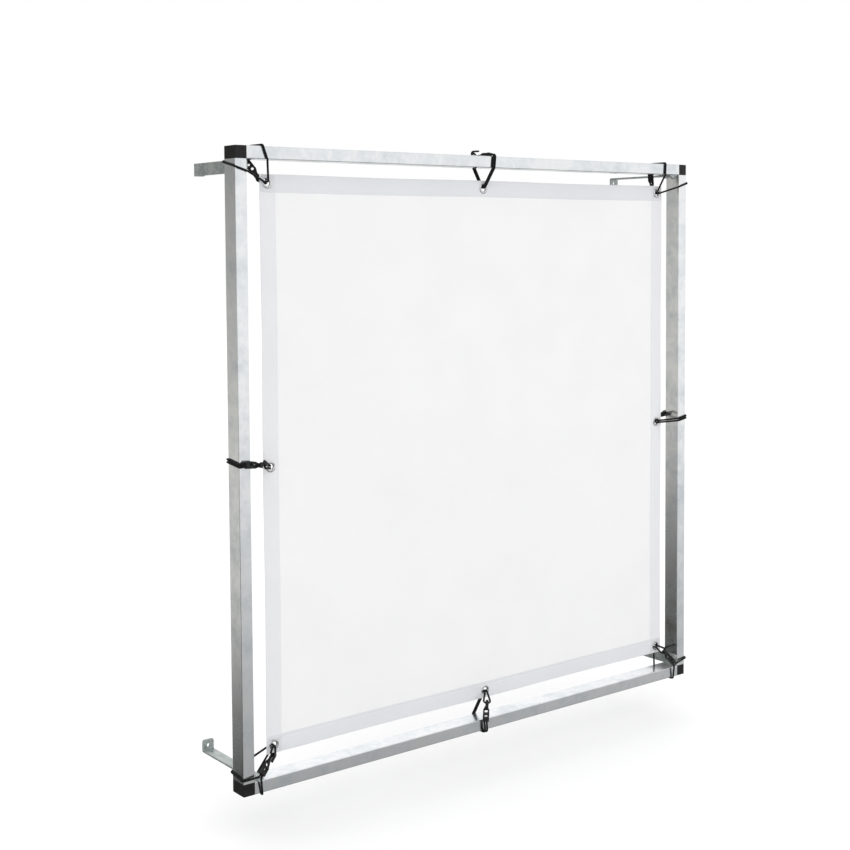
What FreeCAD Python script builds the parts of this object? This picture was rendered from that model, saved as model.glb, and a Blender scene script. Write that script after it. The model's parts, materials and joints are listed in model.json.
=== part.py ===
import FreeCAD, Part
import math
import os

Vector = FreeCAD.Vector

# Wall-mounted frame that holds a hemmed sheet taut with elastic ties. All sizes are millimetres.
# Origin: centre of the four wall holes, on the wall. The front faces -Y and +Z is up.

# ---- driving dimensions -----------------------------------------------------------------
FRAME_SIZE = 1500.0        # outside width and height of the square frame
TUBE_FACE = 30.0           # tube width seen from the front
TUBE_DEPTH = 50.0          # tube size from front to back
TUBE_WALL = 2.0
TUBE_EDGE = 2.0            # rounded long edges of the tube
BORE_EDGE = 0.5
WALL_GAP = 200.0           # from the back of the tubes to the wall

SPIGOT_LENGTH = 45.0       # corner plug inside each tube
SPIGOT_PLAY = 0.2          # gap between plug and tube wall, each side
SPIGOT_RIB_PITCH = 12.0

BRACKET_WIDTH = 30.0
BRACKET_THICK = 4.0
BRACKET_FRONT = 5.0        # bracket starts this far behind the frame's front
WALL_HOLE_R = 4.5
BOLT_R = 3.0
BOLT_HOLE_R = 3.2
BOLT_INSET = 12.5          # bolt centres, from the front and the back of the tube
PILOT_HOLE_R = 2.2
PILOT_HOLE_Y = -22.0       # small spare hole in the arm, near the wall
HEAD_R = 5.5
HEAD_HEIGHT = 4.0
WASHER_R = 6.5
WASHER_THICK = 1.2
INSERT_R = 4.5
INSERT_LENGTH = 10.0

SHEET_WIDTH = 1344.0
SHEET_TOP = 687.0
SHEET_BOTTOM = -673.0
SHEET_THICK = 0.6
HEM_WIDTH = 42.0
HEM_THICK = 0.5            # one layer of hem on each face of the sheet

EYELET_INSET = 20.0
EYELET_HOLE_R = 7.0
EYELET_BARREL_R = 8.2
EYELET_RIM_R = 13.0
EYELET_RIM_THICK = 1.6
EYELET_WASHER_THICK = 0.8
EYELET_LIP_R = 10.6
EYELET_LIP_THICK = 1.2
EYELET_ROUND = 0.55

CORD_R = 2.5
CORD_OFF = 2.7             # cord centre line above a tube face
CORD_EDGE_BEND = 4.7       # bend radius where a cord goes round a tube edge
CORD_EYE_BEND = 7.5        # bend radius where a cord goes through an eyelet
CORD_NEAR_BEND = 5.2       # bend radius at the edge a corner tie meets first
CORD_BIGHT = 10.0          # half the width of the loop held in a hook
STRAND_HALF = 3.2          # half the distance between the two strands
EYE_STRAND = 2.75          # the same, inside an eyelet
EYE_HALF = 4.25            # half the straight run through an eyelet
EYE_PULL = 2.4             # the strands lie this far off the eyelet's centre

HOOK_GAP = 0.4             # air between a hook and the tube it lies on
HOOK_BLOCK = (20.0, 16.0, 9.0)
HOOK_RAMP_END = 28.0       # the block slopes down to the plate by here
HOOK_PLATE_END = 30.0      # the plate narrows from here to the shank
HOOK_TAPER_END = 40.0
HOOK_SOCKET_R = 2.8
HOOK_SOCKET_DEPTH = 9.0
HOOK_SHANK = (3.2, 4.5)    # half width, thickness
HOOK_BOWL_S = 49.0         # bowl centre, from the base of the hook
HOOK_THROAT = 7.5
HOOK_TIP_S = 34.0          # where the prong ends
HOOK_ROUND = 1.0
HOOK_WINDOWS = ((14.5, 5.0, 9.0), (26.0, 6.0, 9.5))    # middle, length, width of each opening
CLAMP_START = 2.5
CLAMP_LENGTH = 5.0
CLAMP_HEIGHT = 0.8

# ---- planes worked out from them --------------------------------------------------------
HALF = FRAME_SIZE / 2
INNER = HALF - TUBE_FACE
Y_BACK = -WALL_GAP
Y_FRONT = Y_BACK - TUBE_DEPTH
Y_MID = (Y_FRONT + Y_BACK) / 2
EYE_X = SHEET_WIDTH / 2 - EYELET_INSET
EYE_TOP = SHEET_TOP - EYELET_INSET
EYE_BOTTOM = SHEET_BOTTOM + EYELET_INSET
EYE_CENTRE = (SHEET_TOP + SHEET_BOTTOM) / 2
HOOK_THROAT_T = HOOK_SHANK[1] + HOOK_THROAT / 2

LEFT, RIGHT, TOP, BOTTOM = -1, 1, 1, -1
CORNERS = {
    "top_left": (LEFT, TOP),
    "top_right": (RIGHT, TOP),
    "bottom_left": (LEFT, BOTTOM),
    "bottom_right": (RIGHT, BOTTOM),
}
EYELETS = [(x, z) for x in (-EYE_X, 0, EYE_X) for z in (EYE_BOTTOM, EYE_CENTRE, EYE_TOP)
           if (x, z) != (0, EYE_CENTRE)]


def export(node, shape):
    shape.exportStep("parts/%s.step" % node)


def box(low, high):
    """A box between two corners, given in any order."""
    corner = [min(a, b) for a, b in zip(low, high)]
    size = [abs(a - b) for a, b in zip(low, high)]
    return Part.makeBox(*size, Vector(*corner))


def along_y(radius, length, x, y, z):
    return Part.makeCylinder(radius, length, Vector(x, y, z), Vector(0, 1, 0))


# ---- frame ------------------------------------------------------------------------------
def rounded_bar(face, depth, length, edge):
    """A bar along X with rounded long edges, centred on the origin."""
    bar = box((-length / 2, -depth / 2, -face / 2), (length / 2, depth / 2, face / 2))
    long_edges = [e for e in bar.Edges if abs(e.BoundBox.XLength - length) < 0.01]
    return bar.makeFillet(edge, long_edges)


def tube():
    """One side of the frame, along X: a rectangular tube between two corner blocks."""
    length = FRAME_SIZE - 2 * TUBE_FACE
    outer = rounded_bar(TUBE_FACE, TUBE_DEPTH, length, TUBE_EDGE)
    bore = rounded_bar(TUBE_FACE - 2 * TUBE_WALL, TUBE_DEPTH - 2 * TUBE_WALL, length + 2, BORE_EDGE)
    return outer.cut(bore)


def turned(shape, quarter_turns):
    """Turn a shape clockwise, seen from the front, about the middle of the frame."""
    copy = shape.copy()
    copy.rotate(Vector(0, 0, 0), Vector(0, 1, 0), 90 * quarter_turns)
    return copy


def bracket_hole_places():
    """Bolt centres of the lower left bracket, which lies on the bottom rail."""
    x = -INNER + BRACKET_WIDTH / 2
    return [(x, y) for y in (Y_FRONT + BOLT_INSET, Y_BACK - BOLT_INSET)]


def bottom_rail():
    """The bottom tube with the two bolt holes for its bracket."""
    rail = tube()
    rail.translate(Vector(0, Y_MID, -(HALF - TUBE_FACE / 2)))
    for x, y in bracket_hole_places():
        rail = rail.cut(Part.makeCylinder(BOLT_HOLE_R, 2 * TUBE_WALL, Vector(x, y, -INNER - TUBE_WALL - 0.5)))
    return rail


def corner_connector():
    """Lower left corner: a block with two ribbed plugs that reach into the tubes."""
    play = TUBE_WALL + SPIGOT_PLAY
    y0, y1 = Y_FRONT, Y_BACK
    block = box((-HALF, y0, -HALF), (-INNER, y1, -INNER))
    block = block.makeFillet(TUBE_EDGE - 0.2, block.Edges)
    low, high = -HALF + play, -INNER - play
    reach = -INNER + SPIGOT_LENGTH
    across = box((-INNER - 5, y0 + play, low), (reach, y1 - play, high))
    upright = box((low, y0 + play, -INNER - 5), (high, y1 - play, reach))
    plugs = across.fuse(upright)
    steps = int(SPIGOT_LENGTH / SPIGOT_RIB_PITCH)
    for step in range(steps):
        start = -INNER + SPIGOT_RIB_PITCH * (step + 0.5)
        for side in (y0 + play, y1 - play):
            plugs = plugs.cut(box((start, side - 1, low - 1), (start + 4, side + 1, high + 1)))
            plugs = plugs.cut(box((low - 1, side - 1, start), (high + 1, side + 1, start + 4)))
    connector = block.fuse(plugs).removeSplitter()
    for x, y in bracket_hole_places():
        mouth = Vector(x, y, high - INSERT_LENGTH - 0.3)
        connector = connector.cut(Part.makeCylinder(INSERT_R + 0.05, INSERT_LENGTH + 1, mouth))
    return connector


def wall_bracket():
    """Lower left bracket: a flat bar on the rail with its end bent up against the wall."""
    x0, x1 = -INNER, -INNER + BRACKET_WIDTH
    z0 = -INNER
    arm = box((x0, Y_FRONT + BRACKET_FRONT, z0), (x1, 0, z0 + BRACKET_THICK))
    flange = box((x0, -BRACKET_THICK, z0), (x1, 0, z0 + BRACKET_WIDTH))
    bracket = arm.fuse(flange).removeSplitter()
    corner_edges = []
    for edge in bracket.Edges:
        bounds = edge.BoundBox
        front_corner = abs(bounds.YMax - Y_FRONT - BRACKET_FRONT) < 0.01 and bounds.ZLength > 1
        flange_corner = abs(bounds.ZMin - z0 - BRACKET_WIDTH) < 0.01 and bounds.YLength > 1
        if (front_corner or flange_corner) and bounds.XLength < 0.01:
            corner_edges.append(edge)
    bracket = bracket.makeFillet(6.0, corner_edges)
    bends = [e for e in bracket.Edges if e.BoundBox.XLength > BRACKET_WIDTH - 0.1
             and abs(e.BoundBox.ZMin - z0) < 0.01 and abs(e.BoundBox.YMin) < 0.01]
    bracket = bracket.makeFillet(BRACKET_THICK, bends)
    for x, y in bracket_hole_places():
        bracket = bracket.cut(Part.makeCylinder(BOLT_HOLE_R, 3 * BRACKET_THICK, Vector(x, y, z0 - 1)))
    x = x0 + BRACKET_WIDTH / 2
    bracket = bracket.cut(Part.makeCylinder(PILOT_HOLE_R, 3 * BRACKET_THICK, Vector(x, PILOT_HOLE_Y, z0 - 1)))
    return bracket.cut(along_y(WALL_HOLE_R, 3 * BRACKET_THICK, x, -2 * BRACKET_THICK, z0 + BRACKET_WIDTH / 2))


def bracket_bolts():
    """Button-head screws: shank through bracket and insert, head with a hexagon socket."""
    bolts = []
    z = -INNER + BRACKET_THICK + WASHER_THICK
    shank_length = BRACKET_THICK + WASHER_THICK + TUBE_WALL + INSERT_LENGTH
    for x, y in bracket_hole_places():
        shank = Part.makeCylinder(BOLT_R, shank_length, Vector(x, y, z - shank_length))
        head = Part.makeCylinder(HEAD_R, HEAD_HEIGHT, Vector(x, y, z))
        head = head.makeFillet(2.0, [e for e in head.Edges if abs(e.BoundBox.ZMin - z - HEAD_HEIGHT) < 0.01])
        corners = [Vector(x + 2.3 * math.cos(a), y + 2.3 * math.sin(a), z + 1.6)
                   for a in [i * math.pi / 3 for i in range(7)]]
        socket = Part.Face(Part.makePolygon(corners)).extrude(Vector(0, 0, HEAD_HEIGHT))
        bolts.append(shank.fuse(head).cut(socket).removeSplitter())
    return Part.makeCompound(bolts)


def ring(outer, inner, height, x, y, z):
    tall = Part.makeCylinder(outer, height, Vector(x, y, z))
    return tall.cut(Part.makeCylinder(inner, height + 2, Vector(x, y, z - 1)))


def bracket_washers():
    z = -INNER + BRACKET_THICK
    return Part.makeCompound([ring(WASHER_R, BOLT_HOLE_R, WASHER_THICK, x, y, z)
                              for x, y in bracket_hole_places()])


def threaded_inserts():
    """Brass sleeves let into the corner plug, so that the bracket bolts also pin the corner."""
    z = -INNER - TUBE_WALL - SPIGOT_PLAY - INSERT_LENGTH
    return Part.makeCompound([ring(INSERT_R, BOLT_R + 0.05, INSERT_LENGTH, x, y, z)
                              for x, y in bracket_hole_places()])


# ---- sheet ------------------------------------------------------------------------------
def punch(shape):
    """Cut the eight eyelet holes through a layer of the sheet."""
    for x, z in EYELETS:
        shape = shape.cut(along_y(EYELET_BARREL_R + 0.1, 10, x, Y_MID - 5, z))
    return shape


def sheet_body():
    half = SHEET_WIDTH / 2
    return box((-half, Y_MID - SHEET_THICK / 2, SHEET_BOTTOM), (half, Y_MID + SHEET_THICK / 2, SHEET_TOP))


def hem(x0, z0, x1, z1):
    """A welded hem folded round one edge of the sheet."""
    reach = SHEET_THICK / 2 + HEM_THICK
    fold = box((x0, Y_MID - reach, z0), (x1, Y_MID + reach, z1))
    return punch(fold.cut(sheet_body()))


def hems():
    half = SHEET_WIDTH / 2
    edge = HEM_THICK
    inner = half - HEM_WIDTH
    low, high = SHEET_BOTTOM - edge, SHEET_TOP + edge
    return {
        "hem_left": hem(-half - edge, low, -inner, high),
        "hem_right": hem(inner, low, half + edge, high),
        "hem_top": hem(-inner, SHEET_TOP - HEM_WIDTH, inner, high),
        "hem_bottom": hem(-inner, low, inner, SHEET_BOTTOM + HEM_WIDTH),
    }


def turned_profile(points, x, z):
    """Revolve a closed (radius, depth) profile about the eyelet's axis."""
    outline = [Vector(x + r, Y_MID + d, z) for r, d in points]
    face = Part.Face(Part.makePolygon(outline + outline[:1]))
    return face.revolve(Vector(x, 0, z), Vector(0, 1, 0), 360)


def eyelet(x, z):
    """Domed front rim, barrel through the hem, and the lip rolled over the washer."""
    hem_face = SHEET_THICK / 2 + HEM_THICK
    front = -hem_face - EYELET_RIM_THICK
    washer = hem_face + EYELET_WASHER_THICK
    back = washer + EYELET_LIP_THICK
    r = EYELET_ROUND
    profile = [
        (EYELET_HOLE_R, front + 2 * r), (EYELET_HOLE_R + r, front + r / 2), (EYELET_HOLE_R + 2 * r, front),
        (EYELET_RIM_R - 3 * r, front + r / 2), (EYELET_RIM_R, -hem_face - r / 2), (EYELET_RIM_R, -hem_face),
        (EYELET_BARREL_R, -hem_face), (EYELET_BARREL_R, washer), (EYELET_LIP_R, washer),
        (EYELET_LIP_R, washer + r), (EYELET_LIP_R - r, back), (EYELET_HOLE_R + 2 * r, back),
        (EYELET_HOLE_R + r, back - r / 2), (EYELET_HOLE_R, back - 2 * r),
    ]
    return turned_profile(profile, x, z)


def eyelet_washer(x, z):
    hem_face = SHEET_THICK / 2 + HEM_THICK
    inner = EYELET_BARREL_R + 0.1
    outer = EYELET_RIM_R
    profile = [(inner, hem_face), (outer, hem_face), (outer - 0.4, hem_face + EYELET_WASHER_THICK),
               (inner, hem_face + EYELET_WASHER_THICK)]
    return turned_profile(profile, x, z)


# ---- elastic cords ----------------------------------------------------------------------
def rounded_path(points, bends):
    """Straight runs joined by tangent arcs; bends holds the wanted radius at each inner point."""
    edges = []
    start = points[0]
    radii = []
    for i in range(1, len(points) - 1):
        here = points[i]
        back = points[i - 1] - here
        ahead = points[i + 1] - here
        room = 0.49 * min(back.Length, ahead.Length)
        back.normalize()
        ahead.normalize()
        half_turn = (math.pi - back.getAngle(ahead)) / 2
        if half_turn < 0.01:
            continue
        radius = min(bends[i - 1], room / math.tan(half_turn))
        radii.append(radius)
        cut = radius * math.tan(half_turn)
        first = here + back * cut
        last = here + ahead * cut
        middle_dir = (back + ahead).normalize()
        middle = here + middle_dir * (radius / math.cos(half_turn) - radius)
        if (first - start).Length > 0.01:
            edges.append(Part.LineSegment(start, first).toShape())
        edges.append(Part.Arc(first, middle, last).toShape())
        start = last
    edges.append(Part.LineSegment(start, points[-1]).toShape())
    return Part.Wire(edges), radii


def cord(name, points, bends):
    """Sweep the round cord along its path, and print its length, bends and volume check."""
    path, radii = rounded_path(points, bends)
    direction = points[1] - points[0]
    section = Part.Wire(Part.makeCircle(CORD_R, points[0], direction))
    solid = path.makePipeShell([section], True, False)
    ideal = math.pi * CORD_R ** 2 * path.Length
    print("%s: length %.1f, tightest bend %.1f, volume ratio %.4f"
          % (name, path.Length, min(radii), solid.Volume / ideal))
    return solid


# ---- hooks ------------------------------------------------------------------------------
class HookPlace:
    """A hook's own directions: along (base to nose), up (prong side) and across."""

    def __init__(self, base, along, up):
        self.base = base
        self.along = Vector(along).normalize()
        flat = Vector(up) - self.along * self.along.dot(up)
        self.up = flat.normalize()
        self.across = self.up.cross(self.along)

    def point(self, s, w, t):
        return self.base + self.along * s + self.across * w + self.up * t

    def placement(self):
        matrix = FreeCAD.Matrix(
            self.along.x, self.across.x, self.up.x, self.base.x,
            self.along.y, self.across.y, self.up.y, self.base.y,
            self.along.z, self.across.z, self.up.z, self.base.z,
            0, 0, 0, 1)
        return FreeCAD.Placement(matrix)


def arm_outline():
    """Side outline of shank, bowl and prong, as one closed wire in the s-t plane."""
    shank = HOOK_SHANK[1]
    inner = HOOK_THROAT / 2
    middle = HOOK_THROAT_T
    top = 2 * middle
    prong = middle + inner
    bowl = HOOK_BOWL_S
    tip = HOOK_TIP_S + 2
    start = HOOK_PLATE_END

    def at(s, t):
        return Vector(s, 0, t)

    edges = [
        Part.LineSegment(at(start, 0), at(bowl, 0)),
        Part.Arc(at(bowl, 0), at(bowl + middle, middle), at(bowl, top)),
        Part.LineSegment(at(bowl, top), at(tip, top)),
        Part.Arc(at(tip, top), at(HOOK_TIP_S, (top + prong) / 2), at(tip, prong)),
        Part.LineSegment(at(tip, prong), at(bowl, prong)),
        Part.Arc(at(bowl, prong), at(bowl + inner, middle), at(bowl, shank)),
        Part.LineSegment(at(bowl, shank), at(start, shank)),
        Part.LineSegment(at(start, shank), at(start, 0)),
    ]
    return Part.Wire([edge.toShape() for edge in edges])


def moulded(points, direction):
    """Extrude a closed outline and round every edge, as on a moulded part."""
    solid = Part.Face(Part.makePolygon(points + points[:1])).extrude(direction)
    return solid.makeFillet(HOOK_ROUND, solid.Edges)


def window(middle, length, width):
    """A round-ended opening right through the hook's plate."""
    height = 3 * HOOK_BLOCK[2]
    end = width / 2 - length / 2
    opening = box((middle - length / 2, -end, -height / 3), (middle + length / 2, end, height / 2))
    for w in (-end, end):
        opening = opening.fuse(Part.makeCylinder(length / 2, height, Vector(middle, w, -height / 3)))
    return opening


def hook_shape():
    """One moulded hook in its own axes: s along X, across along Y, up along Z."""
    length, width, height = HOOK_BLOCK
    half, thick = HOOK_SHANK
    wide = width / 2
    arm = Part.Face(arm_outline()).extrude(Vector(0, 2 * half, 0))
    arm.translate(Vector(0, -half, 0))
    arm = arm.makeFillet(HOOK_ROUND, arm.Edges)
    plate = moulded([Vector(0, -wide, 0), Vector(HOOK_PLATE_END, -wide, 0), Vector(HOOK_TAPER_END, -half, 0),
                     Vector(HOOK_TAPER_END, half, 0), Vector(HOOK_PLATE_END, wide, 0), Vector(0, wide, 0)],
                    Vector(0, 0, thick))
    block = moulded([Vector(0, -wide, 0), Vector(0, -wide, height), Vector(length, -wide, height),
                     Vector(HOOK_RAMP_END, -wide, thick), Vector(HOOK_RAMP_END, -wide, 0)], Vector(0, width, 0))
    hook = plate.fuse([block, arm])
    for w in (-STRAND_HALF, STRAND_HALF):
        hook = hook.cut(Part.makeCylinder(HOOK_SOCKET_R, HOOK_SOCKET_DEPTH, Vector(-0.01, w, height / 2),
                                          Vector(1, 0, 0)))
    for place in HOOK_WINDOWS:
        hook = hook.cut(window(*place))
    return hook


def cord_clamp_shape():
    """The snap-in wedge that closes the sockets, seated on the hook's base."""
    half = HOOK_BLOCK[1] / 2 - 3
    height = HOOK_BLOCK[2]
    clamp = box((CLAMP_START, -half, height), (CLAMP_START + CLAMP_LENGTH, half, height + CLAMP_HEIGHT))
    return clamp.makeFillet(CLAMP_HEIGHT / 2, [e for e in clamp.Edges if e.BoundBox.ZMin > height + 0.1])


def placed(shape, place):
    copy = shape.copy()
    copy.Placement = place.placement()
    return copy


# ---- ties -------------------------------------------------------------------------------
def bight(place, lift=0.0):
    """The two points of the loop held in the hook's throat."""
    t = HOOK_THROAT_T + lift
    return place.point(HOOK_BOWL_S, CORD_BIGHT, t), place.point(HOOK_BOWL_S, -CORD_BIGHT, t)


def side_tie(outward, along, eye, side, base_out, skew, roll):
    """A doubled cord round one tube, with its hook on the side's face.

    outward and along are the tube's directions, side is -1 with the hook in front and
    1 behind. skew holds how far the loop wanders along the tube at its base, outer
    edges and far inner edge. roll turns the prong towards along, in degrees.
    """
    gap = INNER - abs(eye.dot(outward))
    outer = gap + TUBE_FACE + CORD_OFF
    face = TUBE_DEPTH / 2
    base_skew, outer_skew, inner_skew = skew

    def at(o, d, a):
        return eye + outward * o + Vector(0, side * d, 0) + along * a

    lean = math.radians(roll)
    rest = face + HOOK_GAP + HOOK_BLOCK[1] / 2 * abs(math.sin(lean))
    base = at(base_out, rest, base_skew)
    nose = at(base_out - HOOK_BOWL_S, rest, rest * math.tan(lean))
    up = Vector(0, side * math.cos(lean), 0) + along * math.sin(lean)
    place = HookPlace(base, nose - base, up)
    turn = 1 if place.across.dot(along) > 0 else -1
    socket_t = HOOK_BLOCK[2] / 2

    def strand(sign):
        end = place.point(HOOK_SOCKET_DEPTH - 1, sign * STRAND_HALF, socket_t)
        mouth = place.point(-2, sign * STRAND_HALF, socket_t)
        a = sign * turn * STRAND_HALF
        eye_a = sign * turn * EYE_STRAND
        return [
            end,
            mouth,
            at(outer, rest + socket_t, base_skew + a),
            at(outer, -face - CORD_OFF, outer_skew + a),
            at(gap, -face - CORD_OFF, inner_skew + a),
            at(EYE_PULL, -EYE_HALF, eye_a),
            at(EYE_PULL, EYE_HALF, eye_a),
        ]

    first, second = bight(place)
    points = strand(1) + [first, second] + strand(-1)[::-1]
    one_way = [CORD_EYE_BEND, CORD_EYE_BEND, CORD_EDGE_BEND] + 3 * [CORD_EYE_BEND]
    return place, points, one_way + [CORD_BIGHT, CORD_BIGHT] + one_way[::-1]


def over_tie(eye, skew):
    """The doubled cord at the middle of the top rail, with its hook lying on the rail."""
    gap = INNER - eye.z
    face = TUBE_DEPTH / 2
    base_y = Y_FRONT + 11
    top = HALF + HOOK_GAP
    base = Vector(eye.x + skew, base_y, top)
    place = HookPlace(base, Vector(-skew * 1.4, HOOK_BOWL_S, 0), Vector(0, 0, 1))
    turn = 1 if place.across.x > 0 else -1
    socket_t = HOOK_BLOCK[2] / 2
    first, second = bight(place, 0.5)

    def at(x, d, z):
        return Vector(eye.x + x, Y_MID + d, z)

    def strand(sign, loop_end):
        a = sign * turn * STRAND_HALF
        eye_a = sign * turn * EYE_STRAND
        end = place.point(HOOK_SOCKET_DEPTH - 1, sign * STRAND_HALF, socket_t)
        mouth = place.point(-1, sign * STRAND_HALF, socket_t)
        rise = Vector(loop_end.x, max(loop_end.y, Y_BACK + CORD_OFF + 0.5), HALF - TUBE_FACE / 2)
        return [
            end,
            mouth,
            at(skew * 1.15 + a, -face - CORD_OFF, top + socket_t),
            at(skew * 0.9 + a, -face - CORD_OFF, INNER),
            at(eye_a, -EYE_HALF, EYE_TOP + EYE_PULL),
            at(eye_a, EYE_HALF, EYE_TOP + EYE_PULL),
            at(-skew * 0.5 + a, face + CORD_OFF, EYE_TOP + gap),
            rise,
        ]

    points = strand(1, first) + [first, second] + strand(-1, second)[::-1]
    one_way = 6 * [CORD_EYE_BEND] + [20.0]
    return place, points, one_way + [CORD_BIGHT, CORD_BIGHT] + one_way[::-1]


def corner_tie(corner, side, base, nose, rail_run, upright_run, crossing):
    """A cord whose strands part at the corner: one round the rail, one round the upright.

    Positions are (outward in x, outward in z, towards the hook's side), from the eyelet.
    rail_run: outward x at the rail's near outer, far outer and far inner edges.
    upright_run: outward z at the upright's near outer, far outer and far inner edges.
    crossing: points that take the strand past the wall bracket.
    """
    sx, sz = CORNERS[corner]
    eye_z = EYE_TOP if sz == TOP else EYE_BOTTOM
    eye = Vector(sx * EYE_X, Y_MID, eye_z)
    gap_x = INNER - EYE_X
    gap_z = INNER - abs(eye_z)
    face = TUBE_DEPTH / 2
    near = face + CORD_OFF
    out_x = gap_x + TUBE_FACE + CORD_OFF
    out_z = gap_z + TUBE_FACE + CORD_OFF

    def at(p, q, d):
        return eye + Vector(sx * p, side * d, sz * q)

    place = HookPlace(at(*base), at(*nose) - at(*base), Vector(0, side, 0))
    rail_side = 1 if place.across.dot(Vector(0, 0, sz)) > 0 else -1
    socket_t = HOOK_BLOCK[2] / 2

    def socket(sign, s):
        return place.point(s, sign * STRAND_HALF, socket_t)

    pull, part = EYE_PULL + 1.0, -0.9
    rail_strand = [
        socket(rail_side, HOOK_SOCKET_DEPTH - 1),
        socket(rail_side, -6.5),
        at(rail_run[0], out_z, near + 1),
        at(rail_run[1], out_z, -near),
        at(rail_run[2], gap_z, -near),
        at(part, pull, -EYE_HALF),
        at(part, pull, EYE_HALF),
    ]
    upright_strand = [
        socket(-rail_side, HOOK_SOCKET_DEPTH - 1),
        socket(-rail_side, -6.5),
    ] + [at(*point) for point in crossing] + [
        at(out_x, upright_run[0], near + 1),
        at(out_x, upright_run[1], -near),
        at(gap_x, upright_run[2], -near),
        at(pull, part, -EYE_HALF),
        at(pull, part, EYE_HALF),
    ]
    loop = bight(place)
    if rail_side < 0:
        loop = loop[::-1]
    points = rail_strand + list(loop) + upright_strand[::-1]
    rail_bends = [CORD_EYE_BEND, CORD_NEAR_BEND, CORD_EDGE_BEND] + 3 * [CORD_EYE_BEND]
    upright_bends = rail_bends[:1] + [CORD_EYE_BEND] * len(crossing) + rail_bends[1:]
    return place, points, rail_bends + [CORD_BIGHT, CORD_BIGHT] + upright_bends[::-1]


FRONT_SIDE, BACK_SIDE = -1, 1


def ties():
    """Every tie's hook place, cord points and bend radii, by name."""
    up, right = Vector(0, 0, 1), Vector(1, 0, 0)
    top_eye = Vector(0, Y_MID, EYE_TOP)
    bottom_eye = Vector(0, Y_MID, EYE_BOTTOM)
    left_eye = Vector(-EYE_X, Y_MID, EYE_CENTRE)
    right_eye = Vector(EYE_X, Y_MID, EYE_CENTRE)
    return {
        "top": over_tie(top_eye, 14.0),
        "bottom": side_tie(-up, right, bottom_eye, FRONT_SIDE, 71.0, (-24.0, -28.0, -16.0), -33.0),
        "left": side_tie(-right, up, left_eye, FRONT_SIDE, 88.0, (15.0, 22.0, 14.0), 22.0),
        "right": side_tie(right, up, right_eye, BACK_SIDE, 88.0, (16.0, 9.0, 3.0), 20.0),
        "top_left": corner_tie("top_left", BACK_SIDE, (40, 54, 27), (9, 13, 16), (28, 27, 15),
                               (47, 35, 25), [(70, 59, 29)]),
        "top_right": corner_tie("top_right", BACK_SIDE, (9, 56, 27), (1.6, 4, 16), (10, 9, 7),
                                (45, 30, 20), [(34, 61, 30), (72, 59, 29)]),
        "bottom_left": corner_tie("bottom_left", FRONT_SIDE, (54, 52, 27), (16, 13, 17), (50, 38, 28),
                                  (57, 50, 38), []),
        "bottom_right": corner_tie("bottom_right", FRONT_SIDE, (46, 54, 27), (12, 14, 17), (46, 36, 26),
                                   (48, 38, 26), []),
    }


# ---- build ------------------------------------------------------------------------------
def build():
    os.makedirs("parts", exist_ok=True)

    rail = bottom_rail()
    for node, turns in (("bottom_rail", 0), ("left_upright", 1), ("top_rail", 2), ("right_upright", 3)):
        export(node, turned(rail, turns))
    connector = corner_connector()
    bracket = wall_bracket()
    for corner, turns in (("bottom_left", 0), ("top_left", 1), ("top_right", 2), ("bottom_right", 3)):
        export("corner_connector_" + corner, turned(connector, turns))
        export("wall_bracket_" + corner, turned(bracket, turns))
    for node, maker in (("bracket_bolts", bracket_bolts), ("bracket_washers", bracket_washers),
                        ("threaded_inserts", threaded_inserts)):
        group = maker()
        export(node, Part.makeCompound([s for turns in range(4) for s in turned(group, turns).Solids]))

    export("mesh_sheet", punch(sheet_body()))
    for node, shape in hems().items():
        export(node, shape)
    export("eyelets", Part.makeCompound([eyelet(x, z) for x, z in EYELETS]))
    export("eyelet_washers", Part.makeCompound([eyelet_washer(x, z) for x, z in EYELETS]))

    hook = hook_shape()
    clamp = cord_clamp_shape()
    for name, (place, points, bends) in ties().items():
        export("elastic_cord_" + name, cord(name, points, bends))
        export("tie_hook_" + name, placed(hook, place))
        export("cord_clamp_" + name, placed(clamp, place))
        print(name, "hook axis", [round(v, 4) for v in place.along])


build()
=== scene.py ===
import json
import math

import bpy
from mathutils import Euler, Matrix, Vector


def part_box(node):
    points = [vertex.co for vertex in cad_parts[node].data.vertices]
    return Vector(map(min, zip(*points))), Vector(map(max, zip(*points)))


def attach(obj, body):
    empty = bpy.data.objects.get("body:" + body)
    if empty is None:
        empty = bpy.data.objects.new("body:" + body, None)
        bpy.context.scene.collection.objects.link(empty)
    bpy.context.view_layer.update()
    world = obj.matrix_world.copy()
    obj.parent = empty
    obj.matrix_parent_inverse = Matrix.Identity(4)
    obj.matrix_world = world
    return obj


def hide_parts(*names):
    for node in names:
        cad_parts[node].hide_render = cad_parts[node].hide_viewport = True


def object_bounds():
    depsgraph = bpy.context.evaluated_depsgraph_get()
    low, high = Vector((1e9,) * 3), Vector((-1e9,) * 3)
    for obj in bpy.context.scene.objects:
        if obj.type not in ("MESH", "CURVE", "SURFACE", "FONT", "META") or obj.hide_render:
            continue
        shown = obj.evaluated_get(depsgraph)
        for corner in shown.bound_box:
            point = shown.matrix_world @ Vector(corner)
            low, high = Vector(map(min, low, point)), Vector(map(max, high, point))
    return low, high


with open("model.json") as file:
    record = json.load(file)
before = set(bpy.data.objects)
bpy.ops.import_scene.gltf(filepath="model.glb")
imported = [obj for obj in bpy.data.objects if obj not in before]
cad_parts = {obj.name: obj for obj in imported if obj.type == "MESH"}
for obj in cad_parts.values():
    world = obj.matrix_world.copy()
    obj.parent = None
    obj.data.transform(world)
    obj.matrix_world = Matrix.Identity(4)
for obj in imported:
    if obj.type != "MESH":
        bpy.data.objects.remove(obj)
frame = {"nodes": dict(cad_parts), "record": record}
cad_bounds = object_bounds()

# A square tube frame that stands off a wall and holds a hemmed sheet taut with eight
# elastic loops. Metres, in the frame of the CAD model: the front faces -Y and +Z is up.

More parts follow.
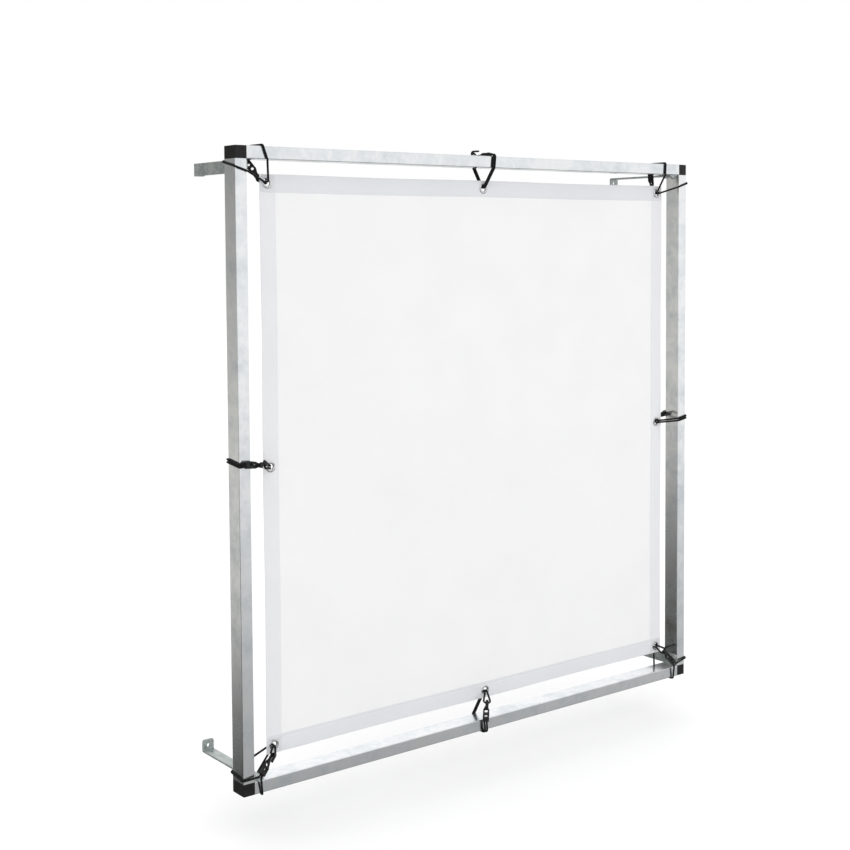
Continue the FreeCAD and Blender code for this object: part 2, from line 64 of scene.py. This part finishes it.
# ---- camera -----------------------------------------------------------------------------
CAMERA_PLACE = (-2.354, -3.014, 0.520)
CAMERA_TURN = (86.779, 0.348, -37.787)      # degrees
CAMERA_LENS = 59.34
CAMERA_SENSOR = 36.0
CAMERA_SHIFT = (0.0, -0.118)
FLOOR_DROP = 0.10                           # the floor lies this far below the frame
FLOOR_SIZE = 40.0

# ---- studio: (height or tilt of a direction, brightness) of the room that metal mirrors --
ROOM_LEVEL = 1.08
BRIGHT_ROOM = [(-0.45, 0.28), (-0.32, 0.40), (-0.23, 0.62), (-0.12, 1.02), (0.04, 0.97), (0.30, 0.87)]
DARK_ROOM = [(-0.53, 0.0), (-0.49, 0.72), (-0.36, 0.62), (-0.22, 0.36), (0.05, 0.10)]
DARK_TILT = (0.46, 0.0, 1.0)
DARK_SIDE = (-0.707, 0.707, 0.0)            # the room is dark behind and to the left
DARK_EDGE = [(0.35, 0.0), (0.70, 1.0)]
KEY_TURN = (52.0, 0.0, -38.0)
KEY_STRENGTH = 0.32
FILL_TURN = (50.0, 0.0, 140.0)
FILL_STRENGTH = 0.12
SUN_ANGLE = 50.0
WARM_SHADE = (1.0, 0.985, 0.945, 1.0)
WHITE = (1.0, 1.0, 1.0, 1.0)

# ---- sheet ------------------------------------------------------------------------------
EYELET_INSET = 0.020
HOLE_RADIUS = 0.0083
HEM_WIDTH = 0.042
HEM_HALF = 0.0008                           # half of the hem's thickness
HEM_LIP = 0.0005                            # the fold reaches this far past the sheet's edge
HEM_TUCK = 0.004                            # the top and bottom hems reach under the side hems
TUCK_HALF = 0.0005
FOLD_STEPS = 6                              # points round the fold at the sheet's edge
FLAT_STEP = 0.003                           # spacing of the section's points across the hem
FLAT_POINTS = 10
WELD_FROM = 0.0092                          # the pressed weld line, from the hem's inner edge
WELD_TO = 0.0040
WELD_RAMP = 0.0006
WELD_SHARE = 0.7                            # thickness left in the weld line
PATCH_HALF = 0.00105
PATCH_CORNER = 0.006
PATCH_INSET = 0.0012                        # the patch starts this far inside the sheet's edge
PATCH_BEVEL = 0.00025
PATCH_SHRINK = 0.0004
PATCH_STEPS = 8
SHEET_HALF = 0.0003
EDGE_ZONE = 0.048                           # the grid is finer in this band, under the hems
EDGE_CELLS = 12
INNER_CELLS = 120
HEM_STEPS = 320
SCALLOP = 0.0016                            # how far an edge pulls in between two eyelets
PUCKER = 0.0010                             # height of the folds that fan out from an eyelet
PUCKER_REACH = 0.085
PUCKER_FOLDS = 7
PUCKER_START, PUCKER_FULL = 0.014, 0.050    # the folds rise between these distances
BILLOW = 0.0012
CUTTER_REACH = 0.01
EYELET_STEPS = 64
EYELET_HOLE = 0.0070
EYELET_RIM = 0.0130
EYELET_DOME = 0.0016
BARREL = 0.0082
RIM_STEPS = 12
WASHER_THICK = 0.0008
WASHER_GAP = 0.0001
WASHER_ROUND = 0.0006
WASHER_STEPS = 5
LIP = 0.0106
LIP_HEIGHT = 0.0012
LIP_STEPS = 8

sheet_low, sheet_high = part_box("mesh_sheet")
SHEET_Y = (sheet_low.y + sheet_high.y) / 2
MIDDLE_Z = (sheet_low.z + sheet_high.z) / 2
EYE_X = sheet_high.x - EYELET_INSET
EYE_TOP = sheet_high.z - EYELET_INSET
EYE_BOTTOM = sheet_low.z + EYELET_INSET
CORNER_EYES = [(x, z) for x in (-EYE_X, EYE_X) for z in (EYE_BOTTOM, EYE_TOP)]
MIDDLE_EYES = [(-EYE_X, MIDDLE_Z), (EYE_X, MIDDLE_Z), (0.0, EYE_BOTTOM), (0.0, EYE_TOP)]
EYES = CORNER_EYES + MIDDLE_EYES


# ---- node helpers -----------------------------------------------------------------------
class Shader:
    """A material's node tree, with short calls for the nodes that are used here."""

    def __init__(self, name):
        self.material = bpy.data.materials.new(name)
        self.material.use_nodes = True
        self.tree = self.material.node_tree
        self.bsdf = self.tree.nodes["Principled BSDF"]
        self.place = self.node("ShaderNodeTexCoord").outputs["Object"]

    def node(self, kind, **values):
        new = self.tree.nodes.new(kind)
        for name, value in values.items():
            setattr(new, name, value)
        return new

    def link(self, source, target):
        self.tree.links.new(source, target)

    def stretched(self, scale):
        mapping = self.node("ShaderNodeMapping")
        mapping.inputs["Scale"].default_value = scale
        self.link(self.place, mapping.inputs["Vector"])
        return mapping.outputs["Vector"]

    def noise(self, scale, detail=3.0, roughness=0.5, along=None):
        noise = self.node("ShaderNodeTexNoise")
        noise.inputs["Scale"].default_value = scale
        noise.inputs["Detail"].default_value = detail
        noise.inputs["Roughness"].default_value = roughness
        self.link(along or self.place, noise.inputs["Vector"])
        return noise.outputs["Fac"]

    def cells(self, scale, along=None):
        voronoi = self.node("ShaderNodeTexVoronoi")
        voronoi.inputs["Scale"].default_value = scale
        self.link(along or self.place, voronoi.inputs["Vector"])
        return voronoi.outputs["Distance"]

    def bands(self, scale, direction):
        wave = self.node("ShaderNodeTexWave", wave_type="BANDS", bands_direction=direction)
        wave.inputs["Scale"].default_value = scale
        self.link(self.place, wave.inputs["Vector"])
        return wave.outputs["Fac"]

    def ramp(self, source, stops):
        ramp = self.node("ShaderNodeValToRGB")
        while len(ramp.color_ramp.elements) < len(stops):
            ramp.color_ramp.elements.new(0.5)
        for element, (position, colour) in zip(ramp.color_ramp.elements, stops):
            element.position = position
            element.color = (*colour, 1.0)
        self.link(source, ramp.inputs["Fac"])
        return ramp.outputs["Color"]

    def between(self, source, low, high, start=0.0, end=1.0):
        spread = self.node("ShaderNodeMapRange")
        for name, value in (("From Min", start), ("From Max", end), ("To Min", low), ("To Max", high)):
            spread.inputs[name].default_value = value
        self.link(source, spread.inputs["Value"])
        return spread.outputs["Result"]

    def math(self, operation, first, second):
        maths = self.node("ShaderNodeMath", operation=operation)
        for socket, value in zip(maths.inputs, (first, second)):
            if isinstance(value, float):
                socket.default_value = value
            else:
                self.link(value, socket)
        return maths.outputs["Value"]

    def bump(self, height, strength, distance, below=None):
        bump = self.node("ShaderNodeBump")
        bump.inputs["Strength"].default_value = strength
        bump.inputs["Distance"].default_value = distance
        self.link(height, bump.inputs["Height"])
        if below is not None:
            self.link(below, bump.inputs["Normal"])
        return bump.outputs["Normal"]

    def finish(self, colour, roughness, normal, metallic=0.0, **constants):
        self.link(colour, self.bsdf.inputs["Base Color"])
        self.link(roughness, self.bsdf.inputs["Roughness"])
        self.link(normal, self.bsdf.inputs["Normal"])
        self.bsdf.inputs["Metallic"].default_value = metallic
        for name, value in constants.items():
            self.bsdf.inputs[name.replace("_", " ")].default_value = value
        return self.material


# ---- materials --------------------------------------------------------------------------
def mill_aluminium(name, stretch):
    """Extruded tube as it comes from the mill: die lines along it, and cloudy patches."""
    shader = Shader(name)
    lines = shader.noise(1.0, 3.0, 0.6, shader.stretched(stretch))
    clouds = shader.noise(11.0, 5.0, 0.62)
    spots = shader.noise(46.0, 3.0, 0.55)
    mixed = shader.math("ADD", shader.math("MULTIPLY", clouds, 0.72), shader.math("MULTIPLY", spots, 0.28))
    colour = shader.ramp(mixed, [(0.34, (0.69, 0.73, 0.77)), (0.47, (0.80, 0.83, 0.85)),
                                 (0.58, (0.88, 0.89, 0.90)), (0.70, (0.83, 0.84, 0.83))])
    roughness = shader.between(mixed, 0.30, 0.18, 0.3, 0.7)
    normal = shader.bump(lines, 0.22, 0.0002, shader.bump(spots, 0.06, 0.0002))
    return shader.finish(colour, roughness, normal, metallic=1.0)


def corner_plastic():
    """Black moulded corner block with a fine spark-eroded grain."""
    shader = Shader("corner_plastic")
    grain = shader.noise(1400.0, 2.0)
    scuffs = shader.noise(70.0, 4.0, 0.6)
    colour = shader.ramp(scuffs, [(0.35, (0.002, 0.002, 0.002)), (0.72, (0.006, 0.006, 0.006))])
    roughness = shader.between(scuffs, 0.36, 0.52, 0.3, 0.7)
    return shader.finish(colour, roughness, shader.bump(grain, 0.3, 0.0001), Specular_IOR_Level=0.36)


def zinc_steel():
    """Zinc-plated flat bar: greenish grey, patchy, with spangle cells."""
    shader = Shader("zinc_steel")
    patches = shader.noise(34.0, 5.0, 0.65)
    spangle = shader.cells(150.0)
    parts = shader.math("MULTIPLY", patches, 0.75), shader.math("MULTIPLY", spangle, 0.35)
    mixed = shader.math("ADD", *parts)
    colour = shader.ramp(mixed, [(0.32, (0.28, 0.33, 0.32)), (0.50, (0.44, 0.49, 0.48)),
                                 (0.68, (0.60, 0.63, 0.62))])
    normal = shader.bump(patches, 0.2, 0.0005, shader.bump(spangle, 0.15, 0.0003))
    return shader.finish(colour, shader.between(mixed, 0.34, 0.56, 0.3, 0.7), normal, metallic=0.85)


def bright_metal(name, dark, light, rough):
    """Plated or turned small parts: bolts, washers, inserts and eyelets."""
    shader = Shader(name)
    tarnish = shader.noise(160.0, 4.0, 0.6)
    turning = shader.noise(900.0, 2.0)
    colour = shader.ramp(tarnish, [(0.35, dark), (0.62, light)])
    roughness = shader.between(tarnish, rough + 0.10, rough, 0.3, 0.7)
    return shader.finish(colour, roughness, shader.bump(turning, 0.12, 0.0001), metallic=1.0)


def woven(name, dark, light, pitch):
    """Coated polyester: a plain weave under a thin coat, a little uneven in colour."""
    shader = Shader(name)
    frequency = 2 * math.pi / (20 * pitch)
    weave = shader.math("MULTIPLY", shader.bands(frequency, "X"), shader.bands(frequency, "Z"))
    cloud = shader.noise(6.0, 4.0, 0.55)
    thread = shader.noise(420.0, 2.0)
    mixed = shader.math("ADD", shader.math("MULTIPLY", cloud, 0.8), shader.math("MULTIPLY", thread, 0.2))
    colour = shader.ramp(mixed, [(0.30, dark), (0.70, light)])
    normal = shader.bump(weave, 0.25, 0.00012, shader.bump(thread, 0.1, 0.0001))
    return shader.finish(colour, shader.between(mixed, 0.62, 0.50, 0.3, 0.7), normal, Sheen_Weight=0.15)


def elastic_braid():
    """Black braided cover of the elastic cord: small lumps of thread, a little fuzzy."""
    shader = Shader("elastic_braid")
    lumps = shader.cells(620.0)
    fuzz = shader.noise(2600.0, 2.0)
    colour = shader.ramp(lumps, [(0.10, (0.012, 0.012, 0.013)), (0.60, (0.002, 0.002, 0.003))])
    normal = shader.bump(lumps, 0.7, 0.0006, shader.bump(fuzz, 0.3, 0.0001))
    roughness = shader.between(fuzz, 0.62, 0.82, 0.3, 0.7)
    return shader.finish(colour, roughness, normal, Sheen_Weight=0.04, Specular_IOR_Level=0.22)


def moulded_plastic(name, dark, light):
    """Black nylon of hooks and clamps: semi-matt, with faint flow marks."""
    shader = Shader(name)
    flow = shader.noise(240.0, 3.0, 0.55)
    grain = shader.noise(2200.0, 2.0)
    colour = shader.ramp(flow, [(0.35, dark), (0.68, light)])
    roughness = shader.between(flow, 0.22, 0.36, 0.3, 0.7)
    return shader.finish(colour, roughness, shader.bump(grain, 0.2, 0.0001), Specular_IOR_Level=0.34)


MATERIALS = {
    "rail": mill_aluminium("mill_aluminium_rail", (5.0, 520.0, 520.0)),
    "upright": mill_aluminium("mill_aluminium_upright", (520.0, 520.0, 5.0)),
    "corner_plastic": corner_plastic(),
    "zinc_steel": zinc_steel(),
    "bolt_steel": bright_metal("bolt_steel", (0.44, 0.45, 0.46), (0.74, 0.75, 0.76), 0.24),
    "insert_brass": bright_metal("insert_brass", (0.46, 0.34, 0.14), (0.78, 0.62, 0.30), 0.28),
    "eyelet_nickel": bright_metal("eyelet_nickel", (0.46, 0.46, 0.47), (0.80, 0.80, 0.81), 0.18),
    "sheet_fabric": woven("sheet_fabric", (0.785, 0.785, 0.787), (0.815, 0.815, 0.816), 0.0012),
    "side_hem": woven("side_hem_fabric", (0.705, 0.708, 0.725), (0.735, 0.738, 0.755), 0.0012),
    "cross_hem": woven("cross_hem_fabric", (0.660, 0.667, 0.690), (0.690, 0.697, 0.720), 0.0012),
    "patch_fabric": woven("patch_fabric", (0.625, 0.632, 0.655), (0.655, 0.662, 0.685), 0.0012),
    "elastic_braid": elastic_braid(),
    "hook_plastic": moulded_plastic("hook_plastic", (0.002, 0.002, 0.002), (0.006, 0.006, 0.007)),
    "clamp_plastic": moulded_plastic("clamp_plastic", (0.006, 0.006, 0.006), (0.014, 0.014, 0.015)),
}


def paint(piece, material):
    piece.data.materials.clear()
    piece.data.materials.append(material)


def paint_frame():
    """Give every CAD node the procedural material of its slot."""
    for row in frame["record"]["subparts"]:
        node, slot = row["node"], row["material_slot"]
        if slot == "mill_aluminium":
            slot = "rail" if node.endswith("rail") else "upright"
        if slot == "hem_fabric":
            slot = "side_hem" if node in ("hem_left", "hem_right") else "cross_hem"
        paint(frame["nodes"][node], MATERIALS[slot])


# ---- mesh helpers -----------------------------------------------------------------------
def mesh_object(name, points, faces, material, smooth_angle=40.0):
    mesh = bpy.data.meshes.new(name)
    mesh.from_pydata([tuple(p) for p in points], [], faces)
    mesh.validate()
    mesh.polygons.foreach_set("use_smooth", [True] * len(mesh.polygons))
    mesh.set_sharp_from_angle(angle=math.radians(smooth_angle))
    piece = bpy.data.objects.new(name, mesh)
    bpy.context.scene.collection.objects.link(piece)
    paint(piece, material)
    return piece


def apply_modifiers(piece):
    """Replace the piece's mesh by the result of its modifiers."""
    graph = bpy.context.evaluated_depsgraph_get()
    result = bpy.data.meshes.new_from_object(piece.evaluated_get(graph))
    piece.modifiers.clear()
    piece.data = result


def punch(piece, eyes):
    """Cut the eyelet holes through a piece."""
    points, faces = [], []
    for x, z in eyes:
        start = len(points)
        for y in (SHEET_Y - CUTTER_REACH, SHEET_Y + CUTTER_REACH):
            for i in range(EYELET_STEPS):
                angle = 2 * math.pi * i / EYELET_STEPS
                points.append((x + HOLE_RADIUS * math.cos(angle), y, z + HOLE_RADIUS * math.sin(angle)))
        front = list(range(start, start + EYELET_STEPS))
        back = [i + EYELET_STEPS for i in front]
        faces.append(front)
        faces.append(back[::-1])
        for i in range(EYELET_STEPS):
            j = (i + 1) % EYELET_STEPS
            faces.append((front[j], front[i], back[i], back[j]))
    cutter = mesh_object("cutter", points, faces, piece.data.materials[0])
    boolean = piece.modifiers.new("holes", "BOOLEAN")
    boolean.operation = "DIFFERENCE"
    boolean.solver = "EXACT"
    boolean.object = cutter
    apply_modifiers(piece)
    bpy.data.objects.remove(cutter)


# ---- the stretched sheet ----------------------------------------------------------------
def smooth_step(value, start, end):
    t = min(max((value - start) / (end - start), 0.0), 1.0)
    return t * t * (3 - 2 * t)


def bow(z, low, high):
    """1 midway between two neighbouring eyelets and 0 at each of them."""
    t = 2 * (z - low) / (high - low)
    return math.sin(math.pi * t) ** 2


def pulled(x, z):
    """The place of a point of the flat sheet once the eyelets pull on it."""
    half_x = sheet_high.x
    half_z = (sheet_high.z - sheet_low.z) / 2
    rel_x, rel_z = x / half_x, (z - MIDDLE_Z) / half_z
    new_x = x - SCALLOP * rel_x ** 5 * bow(max(min(z, EYE_TOP), EYE_BOTTOM), EYE_BOTTOM, EYE_TOP)
    new_z = z - SCALLOP * rel_z ** 5 * bow(max(min(x, EYE_X), -EYE_X), -EYE_X, EYE_X)
    return new_x, new_z


def relief(x, z):
    """How far the sheet stands out of its plane: a slow billow, and folds at each eyelet."""
    edge = (1 - (x / sheet_high.x) ** 2) * (1 - ((z - MIDDLE_Z) / (sheet_high.z - MIDDLE_Z)) ** 2)
    out = BILLOW * edge * math.sin(3.1 * x + 0.6) * math.sin(2.3 * z - 0.4)
    for eye_x, eye_z in EYES:
        dx, dz = x - eye_x, z - eye_z
        distance = math.hypot(dx, dz)
        if distance < 4 * PUCKER_REACH:
            fold = math.cos(PUCKER_FOLDS * math.atan2(dz, dx) + 9.0 * eye_x + 4.0 * eye_z)
            fade = math.exp(-distance / PUCKER_REACH)
            out += PUCKER * fade * fold * smooth_step(distance, PUCKER_START, PUCKER_FULL)
    return out


def on_sheet(x, z, depth):
    new_x, new_z = pulled(x, z)
    return Vector((new_x, SHEET_Y + depth + relief(x, z), new_z))


def grid_lines(low, high):
    """Where the sheet's grid lines lie from one edge to the other."""
    edge = [EDGE_ZONE * i / EDGE_CELLS for i in range(EDGE_CELLS)]
    inner = high - low - 2 * EDGE_ZONE
    middle = [low + EDGE_ZONE + inner * i / INNER_CELLS for i in range(INNER_CELLS + 1)]
    return [low + step for step in edge] + middle + [high - step for step in reversed(edge)]


def make_sheet():
    """The panel itself: both faces of a thin grid, closed round its edge."""
    across = grid_lines(sheet_low.x, sheet_high.x)
    upward = grid_lines(sheet_low.z, sheet_high.z)
    side = len(across)
    points = [on_sheet(x, z, depth) for depth in (-SHEET_HALF, SHEET_HALF) for z in upward for x in across]
    back = side * side
    faces = []
    for j in range(side - 1):
        for i in range(side - 1):
            a = j * side + i
            faces.append((a, a + 1, a + side + 1, a + side))
            faces.append((back + a, back + a + side, back + a + side + 1, back + a + 1))
    rim = list(range(side))
    rim += [j * side + side - 1 for j in range(1, side)]
    rim += [(side - 1) * side + i for i in range(side - 2, -1, -1)]
    rim += [j * side for j in range(side - 2, 0, -1)]
    for a, b in zip(rim, rim[1:] + rim[:1]):
        faces.append((b, a, back + a, back + b))
    piece = mesh_object("stretched_sheet", points, faces, MATERIALS["sheet_fabric"])
    punch(piece, EYES)
    return piece


def hem_section(half):
    """The hem's section: distance in from the sheet's edge, and depth, as one closed loop."""
    weld = WELD_SHARE * half
    weld_start, weld_end = HEM_WIDTH - WELD_FROM, HEM_WIDTH - WELD_TO
    front = []
    for i in range(FOLD_STEPS + 1):
        angle = math.pi / 2 * i / FOLD_STEPS
        front.append((half - HEM_LIP - half * math.cos(angle), -half * math.sin(angle)))
    front += [(FLAT_STEP * step, -half) for step in range(1, FLAT_POINTS + 1)]
    front += [(weld_start, -half), (weld_start + WELD_RAMP, -weld), ((weld_start + weld_end) / 2, -weld),
              (weld_end - WELD_RAMP, -weld), (weld_end, -half)]
    front += [(HEM_WIDTH - 0.0012, -half), (HEM_WIDTH - 0.0004, -0.85 * half), (HEM_WIDTH, -0.55 * half)]
    return front + [(inward, -depth) for inward, depth in reversed(front) if depth < 0]


def make_hem(name, side, eyes):
    """A hem swept along one side of the sheet: left, right, top or bottom."""
    upright = side in ("left", "right")
    sign = -1 if side in ("left", "bottom") else 1
    start = (sheet_low.z if upright else sheet_low.x + HEM_WIDTH - HEM_TUCK)
    end = (sheet_high.z if upright else sheet_high.x - HEM_WIDTH + HEM_TUCK)
    if upright:
        start, end = start - HEM_LIP, end + HEM_LIP
    rings = []
    for step in range(HEM_STEPS + 1):
        along = start + (end - start) * step / HEM_STEPS
        half = HEM_HALF
        if not upright:
            gap = min(along - start, end - along)
            half = TUCK_HALF + (HEM_HALF - TUCK_HALF) * smooth_step(gap, 0.3 * HEM_TUCK, HEM_TUCK)
        ring = []
        for inward, depth in hem_section(half):
            if upright:
                ring.append(on_sheet(sign * (sheet_high.x - inward), along, depth))
            else:
                edge = sheet_high.z - inward if sign > 0 else sheet_low.z + inward
                ring.append(on_sheet(along, edge, depth))
        rings.append(ring)
    count = len(rings[0])
    points = [p for ring in rings for p in ring]
    faces = []
    flip = (sign > 0) != upright
    for step in range(HEM_STEPS):
        for i in range(count):
            j = (i + 1) % count
            a, b = step * count + i, step * count + j
            quad = (a, b, b + count, a + count)
            faces.append(quad[::-1] if flip else quad)
    first = list(range(count))
    last = [HEM_STEPS * count + i for i in first]
    faces.append(first if flip else first[::-1])
    faces.append(last[::-1] if flip else last)
    piece = mesh_object(name, points, faces, MATERIALS["side_hem" if upright else "cross_hem"], 60.0)
    punch(piece, eyes)
    return piece


def make_patch(name, eye):
    """A square of doubled cloth at a corner, where two hems cross."""
    sign_x = 1 if eye[0] > 0 else -1
    edge_z = sheet_high.z if eye[1] > MIDDLE_Z else sheet_low.z
    sign_z = 1 if eye[1] > MIDDLE_Z else -1
    near, far = PATCH_INSET + PATCH_CORNER, HEM_WIDTH - PATCH_CORNER
    outline = []
    for u, v, quarter in [(far, far, 0), (near, far, 1), (near, near, 2), (far, near, 3)]:
        for i in range(PATCH_STEPS + 1):
            angle = math.pi / 2 * (quarter + i / PATCH_STEPS)
            outline.append((u + PATCH_CORNER * math.cos(angle), v + PATCH_CORNER * math.sin(angle)))
    wall = PATCH_HALF - PATCH_BEVEL
    levels = [(-PATCH_HALF, PATCH_SHRINK), (-wall, 0.0), (wall, 0.0), (PATCH_HALF, PATCH_SHRINK)]
    middle = (PATCH_INSET + HEM_WIDTH) / 2
    points = []
    for depth, shrink in levels:
        scale = 1 - shrink / (HEM_WIDTH / 2)
        for u, v in outline:
            inward_x = middle + (u - middle) * scale
            inward_z = middle + (v - middle) * scale
            points.append(on_sheet(sign_x * (sheet_high.x - inward_x), edge_z - sign_z * inward_z, depth))
    count = len(outline)
    flip = sign_x * sign_z < 0
    faces = []
    for level in range(len(levels) - 1):
        for i in range(count):
            a = level * count + i
            b = level * count + (i + 1) % count
            quad = (a, b, b + count, a + count)
            faces.append(quad[::-1] if flip else quad)
    front = list(range(count))
    back = [(len(levels) - 1) * count + i for i in front]
    faces.append(front if flip else front[::-1])
    faces.append(back[::-1] if flip else back)
    piece = mesh_object(name, points, faces, MATERIALS["patch_fabric"])
    punch(piece, [eye])
    return piece


# ---- eyelets ----------------------------------------------------------------------------
def lathe(name, profile, material):
    """Turn one closed (radius, depth) profile round the axis of every eyelet."""
    points, faces = [], []
    count = len(profile)
    for x, z in EYES:
        start = len(points)
        for step in range(EYELET_STEPS):
            angle = 2 * math.pi * step / EYELET_STEPS
            for radius, depth in profile:
                points.append((x + radius * math.cos(angle), SHEET_Y + depth, z + radius * math.sin(angle)))
        for step in range(EYELET_STEPS):
            following = (step + 1) % EYELET_STEPS
            for i in range(count):
                j = (i + 1) % count
                faces.append((start + step * count + i, start + step * count + j,
                              start + following * count + j, start + following * count + i))
    return mesh_object(name, points, faces, material, 35.0)


def eyelet_profile():
    """Domed front rim, barrel through the cloth, and the rolled lip at the back."""
    middle, reach = (EYELET_HOLE + EYELET_RIM) / 2, (EYELET_RIM - EYELET_HOLE) / 2
    base = -HEM_HALF
    profile = []
    for i in range(RIM_STEPS + 1):
        angle = math.pi * i / RIM_STEPS
        profile.append((middle - reach * math.cos(angle), base - EYELET_DOME * math.sin(angle) ** 0.8))
    washer = HEM_HALF + WASHER_THICK
    profile += [(BARREL, base), (BARREL, washer)]
    middle, reach = (EYELET_HOLE + LIP) / 2, (LIP - EYELET_HOLE) / 2
    for i in range(LIP_STEPS + 1):
        angle = math.pi * i / LIP_STEPS
        profile.append((middle + reach * math.cos(angle), washer + LIP_HEIGHT * math.sin(angle) ** 0.7))
    return profile


def washer_profile():
    """Flat ring behind the cloth, with its outer edge rounded."""
    inner = BARREL + WASHER_GAP
    top = HEM_HALF + WASHER_THICK
    profile = [(inner, HEM_HALF), (EYELET_RIM, HEM_HALF)]
    for i in range(WASHER_STEPS + 1):
        angle = math.pi / 2 * i / WASHER_STEPS
        profile.append((EYELET_RIM - WASHER_ROUND + WASHER_ROUND * math.cos(angle),
                        top - WASHER_ROUND + WASHER_ROUND * math.sin(angle)))
    return profile + [(inner, top)]


def make_eyelets():
    rims = lathe("eyelet_rims", eyelet_profile(), MATERIALS["eyelet_nickel"])
    washers = lathe("eyelet_back_washers", washer_profile(), MATERIALS["eyelet_nickel"])
    for piece, node in ((rims, "eyelets"), (washers, "eyelet_washers")):
        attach(piece, "frame")
        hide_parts(node)


def make_soft_goods():
    sheet = make_sheet()
    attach(sheet, "frame")
    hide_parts("mesh_sheet")
    for side in ("left", "right", "top", "bottom"):
        name = "hem_" + side
        low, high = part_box(name)
        eyes = [e for e in EYES if low.x < e[0] < high.x and low.z < e[1] < high.z]
        hem = make_hem("folded_" + name, side, eyes)
        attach(hem, "frame")
        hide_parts(name)
    for eye in CORNER_EYES:
        name = ("top" if eye[1] > 0 else "bottom") + ("_right" if eye[0] > 0 else "_left")
        patch = make_patch("corner_patch_" + name, eye)
        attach(patch, "frame")


# ---- studio -----------------------------------------------------------------------------
def make_camera():
    data = bpy.data.cameras.new("camera")
    data.lens = CAMERA_LENS
    data.sensor_width = CAMERA_SENSOR
    data.shift_x, data.shift_y = CAMERA_SHIFT
    camera = bpy.data.objects.new("camera", data)
    camera.location = CAMERA_PLACE
    camera.rotation_euler = Euler([math.radians(a) for a in CAMERA_TURN], "XYZ")
    bpy.context.scene.collection.objects.link(camera)
    bpy.context.scene.camera = camera


def make_floor():
    shader = Shader("floor_paper")
    tone = shader.noise(0.6, 2.0)
    colour = shader.ramp(tone, [(0.3, (0.955, 0.955, 0.955)), (0.7, (0.965, 0.965, 0.965))])
    material = shader.finish(colour, shader.between(tone, 0.90, 0.95), shader.bump(tone, 0.02, 0.001))
    half = FLOOR_SIZE / 2
    z = cad_bounds[0].z - FLOOR_DROP
    floor = mesh_object("floor", [(-half, -half, z), (half, -half, z), (half, half, z), (-half, half, z)],
                        [(0, 1, 2, 3)], material)
    floor.visible_glossy = False


def soft_light(name, turn, strength):
    """A wide, far lamp: even over the whole sheet, with soft shadows."""
    data = bpy.data.lights.new(name, "SUN")
    data.energy = strength
    data.angle = math.radians(SUN_ANGLE)
    light = bpy.data.objects.new(name, data)
    light.rotation_euler = Euler([math.radians(a) for a in turn], "XYZ")
    bpy.context.scene.collection.objects.link(light)


def make_world():
    """A white studio. What shines sees a darker room low down behind the object."""
    world = bpy.data.worlds.new("studio")
    world.use_nodes = True
    bpy.context.scene.world = world
    tree = world.node_tree
    nodes, links = tree.nodes, tree.links
    nodes.clear()

    def add(kind, **values):
        new = nodes.new(kind)
        for name, value in values.items():
            setattr(new, name, value)
        return new

    direction = add("ShaderNodeTexCoord").outputs["Generated"]
    split = add("ShaderNodeSeparateXYZ")
    links.new(direction, split.inputs[0])

    def ramp(source, stops):
        new = add("ShaderNodeValToRGB")
        spread = add("ShaderNodeMapRange")
        spread.inputs["From Min"].default_value = -1.0
        spread.inputs["From Max"].default_value = 1.0
        links.new(source, spread.inputs["Value"])
        links.new(spread.outputs["Result"], new.inputs["Fac"])
        while len(new.color_ramp.elements) < len(stops):
            new.color_ramp.elements.new(0.5)
        for element, (position, level) in zip(new.color_ramp.elements, stops):
            element.position = (position + 1) / 2
            element.color = (level, level, level, 1.0)
        return new.outputs["Color"]

    tilted = add("ShaderNodeVectorMath", operation="DOT_PRODUCT")
    links.new(direction, tilted.inputs[0])
    tilted.inputs[1].default_value = DARK_TILT
    bright = ramp(split.outputs["Z"], BRIGHT_ROOM)
    dark = ramp(tilted.outputs["Value"], DARK_ROOM)
    corner = add("ShaderNodeVectorMath", operation="DOT_PRODUCT")
    links.new(direction, corner.inputs[0])
    corner.inputs[1].default_value = DARK_SIDE
    towards_dark = ramp(corner.outputs["Value"], DARK_EDGE)
    mix = add("ShaderNodeMixRGB")
    links.new(towards_dark, mix.inputs["Fac"])
    links.new(bright, mix.inputs["Color1"])
    links.new(dark, mix.inputs["Color2"])
    warm = add("ShaderNodeMixRGB", blend_type="MULTIPLY")
    links.new(towards_dark, warm.inputs["Fac"])
    links.new(mix.outputs["Color"], warm.inputs["Color1"])
    warm.inputs["Color2"].default_value = WARM_SHADE

    ray = add("ShaderNodeLightPath")
    shine = add("ShaderNodeBackground")
    links.new(warm.outputs["Color"], shine.inputs["Color"])
    plain = add("ShaderNodeBackground")
    plain.inputs["Color"].default_value = WHITE
    plain.inputs["Strength"].default_value = ROOM_LEVEL
    paper = add("ShaderNodeBackground")
    paper.inputs["Color"].default_value = WHITE
    choose_shine = add("ShaderNodeMixShader")
    links.new(ray.outputs["Is Glossy Ray"], choose_shine.inputs[0])
    links.new(plain.outputs[0], choose_shine.inputs[1])
    links.new(shine.outputs[0], choose_shine.inputs[2])
    choose_paper = add("ShaderNodeMixShader")
    links.new(ray.outputs["Is Camera Ray"], choose_paper.inputs[0])
    links.new(choose_shine.outputs[0], choose_paper.inputs[1])
    links.new(paper.outputs[0], choose_paper.inputs[2])
    links.new(choose_paper.outputs[0], add("ShaderNodeOutputWorld").inputs["Surface"])


def make_studio():
    make_camera()
    make_floor()
    make_world()
    soft_light("key", KEY_TURN, KEY_STRENGTH)
    soft_light("fill", FILL_TURN, FILL_STRENGTH)
    bpy.context.scene.view_settings.view_transform = "Standard"


# ---- build ------------------------------------------------------------------------------
make_studio()
paint_frame()
make_soft_goods()
make_eyelets()
